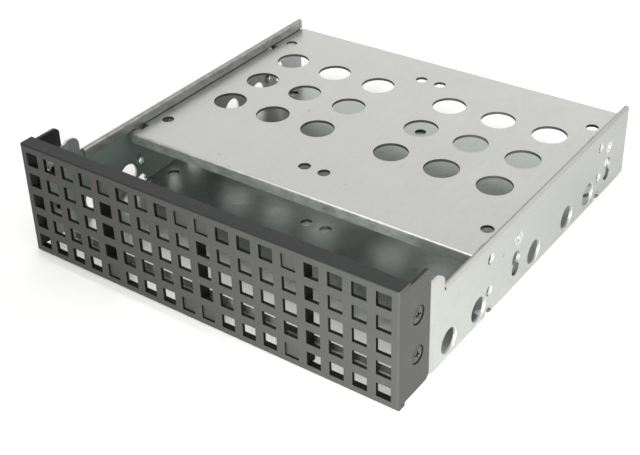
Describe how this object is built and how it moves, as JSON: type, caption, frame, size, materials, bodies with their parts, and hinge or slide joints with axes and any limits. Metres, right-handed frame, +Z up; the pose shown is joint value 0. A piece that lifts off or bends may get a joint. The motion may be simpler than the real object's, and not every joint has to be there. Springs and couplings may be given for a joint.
{
  "type": "optical drive bay mounting bracket",
  "caption": "Sheet steel bay bracket that carries small drives on a tray floor and a perforated upper shelf behind a black square-grid front panel.",
  "frame": {"origin": "middle of the footprint, on the surface the bracket stands on", "axes": "+X to the right seen from the front, +Y from the front panel to the open rear, +Z up"},
  "size_m": [0.146, 0.154, 0.042],
  "materials": {
    "galvanised_steel": "hot-dip galvanised sheet, fine spangle, satin",
    "black_plastic": "fine-textured matte black moulding",
    "rivet_steel": "bright pressed steel",
    "black_screw": "black oxide"
  },
  "bodies": {
    "bracket": {"tray": "galvanised_steel", "top_plate": "galvanised_steel", "front_bezel": "black_plastic", "plate_rivet_left_front": "rivet_steel", "plate_rivet_left_rear": "rivet_steel", "plate_rivet_right_front": "rivet_steel", "plate_rivet_right_rear": "rivet_steel"},
    "screw_left_lower": {"bezel_screw_left_lower": "black_screw"},
    "screw_left_upper": {"bezel_screw_left_upper": "black_screw"},
    "screw_right_lower": {"bezel_screw_right_lower": "black_screw"},
    "screw_right_upper": {"bezel_screw_right_upper": "black_screw"}
  },
  "joints": [
    {"name": "screw_left_lower_withdraw", "type": "slide", "parent": "bracket", "child": "screw_left_lower", "axis": [-1, 0, 0], "range_m": [0, 0.0042]},
    {"name": "screw_left_upper_withdraw", "type": "slide", "parent": "bracket", "child": "screw_left_upper", "axis": [-1, 0, 0], "range_m": [0, 0.0042]},
    {"name": "screw_right_lower_withdraw", "type": "slide", "parent": "bracket", "child": "screw_right_lower", "axis": [1, 0, 0], "range_m": [0, 0.0042]},
    {"name": "screw_right_upper_withdraw", "type": "slide", "parent": "bracket", "child": "screw_right_upper", "axis": [1, 0, 0], "range_m": [0, 0.0042]}
  ]
}
